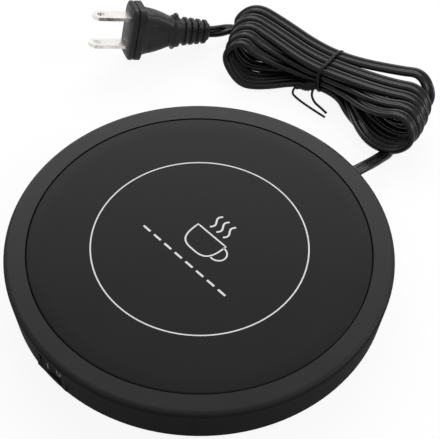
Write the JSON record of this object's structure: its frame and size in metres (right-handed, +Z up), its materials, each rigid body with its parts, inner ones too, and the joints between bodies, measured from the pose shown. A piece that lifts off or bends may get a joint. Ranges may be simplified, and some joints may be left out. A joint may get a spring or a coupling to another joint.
{
  "type": "electric mug warmer",
  "caption": "Round flat mug warmer with a heated plate, a rocker switch in the side wall, and a tied flat cord with a two-blade plug.",
  "frame": {"origin": "centre of the case's footprint at table height", "axes": "+Z up, switch towards -Y, cord outlet towards +Y"},
  "size_m": [0.1849, 0.1967, 0.027],
  "materials": {
    "case_plastic": "fine matt texture, black",
    "pan_plastic": "matt black",
    "plate_coating": "matt black non-stick coating",
    "seal_silicone": "matt",
    "mica": "pressed mica sheet",
    "element_foil": "etched foil",
    "plated_steel": "zinc plated",
    "shield_aluminium": "rolled sheet",
    "thermostat_steel": "drawn",
    "fuse_sleeve": "woven glass sleeve",
    "screw_steel": "black zinc",
    "foot_rubber": "matt",
    "switch_plastic": "satin black",
    "rocker_plastic": "glossy black",
    "plunger_plastic": "natural nylon",
    "contact_brass": "stamped",
    "relief_rubber": "matt",
    "clamp_plastic": "natural nylon",
    "wire_insulation": "silicone",
    "cord_jacket": "satin black vinyl",
    "tie_plastic": "thin vinyl over wire",
    "plug_vinyl": "moulded satin vinyl",
    "blade_brass": "nickel plated, stamped"
  },
  "bodies": {
    "case": {"top_cover": "case_plastic", "base_pan": "pan_plastic", "heating_plate": "plate_coating", "plate_seal": "seal_silicone", "upper_mica_sheet": "mica", "lower_mica_sheet": "mica", "heating_element": "element_foil", "pressure_plate": "plated_steel", "heat_shield": "shield_aluminium", "plate_studs": "plated_steel", "stud_nuts": "plated_steel", "thermostat": "thermostat_steel", "thermal_fuse": "fuse_sleeve", "case_screws": "screw_steel", "clamp_screws": "screw_steel", "rubber_feet": "foot_rubber", "switch_housing": "switch_plastic", "switch_terminals": "contact_brass", "cord_strain_relief": "relief_rubber", "cord_clamp": "clamp_plastic", "internal_wires": "wire_insulation", "cord_lead": "cord_jacket", "cord_hank": "cord_jacket", "cord_plug_lead": "cord_jacket", "twist_tie": "tie_plastic", "tie_tail": "tie_plastic", "plug_body": "plug_vinyl", "plug_blades": "blade_brass"},
    "rocker": {"switch_rocker": "rocker_plastic", "switch_plunger": "plunger_plastic"},
    "contact": {"switch_contact": "contact_brass"}
  },
  "joints": [
    {"name": "rocker_tip", "type": "hinge", "parent": "case", "child": "rocker", "pos_m": [0, -0.0648, 0.009], "axis": [0, 0, 1], "range_deg": [-16, 0]},
    {"name": "contact_tip", "type": "hinge", "parent": "case", "child": "contact", "pos_m": [0, -0.0602, 0.009], "axis": [0, 0, 1], "range_deg": [0, 12.8]}
  ],
  "couplings": [
    {"joint": "contact_tip", "follows": "rocker_tip", "ratio": -0.8}
  ]
}
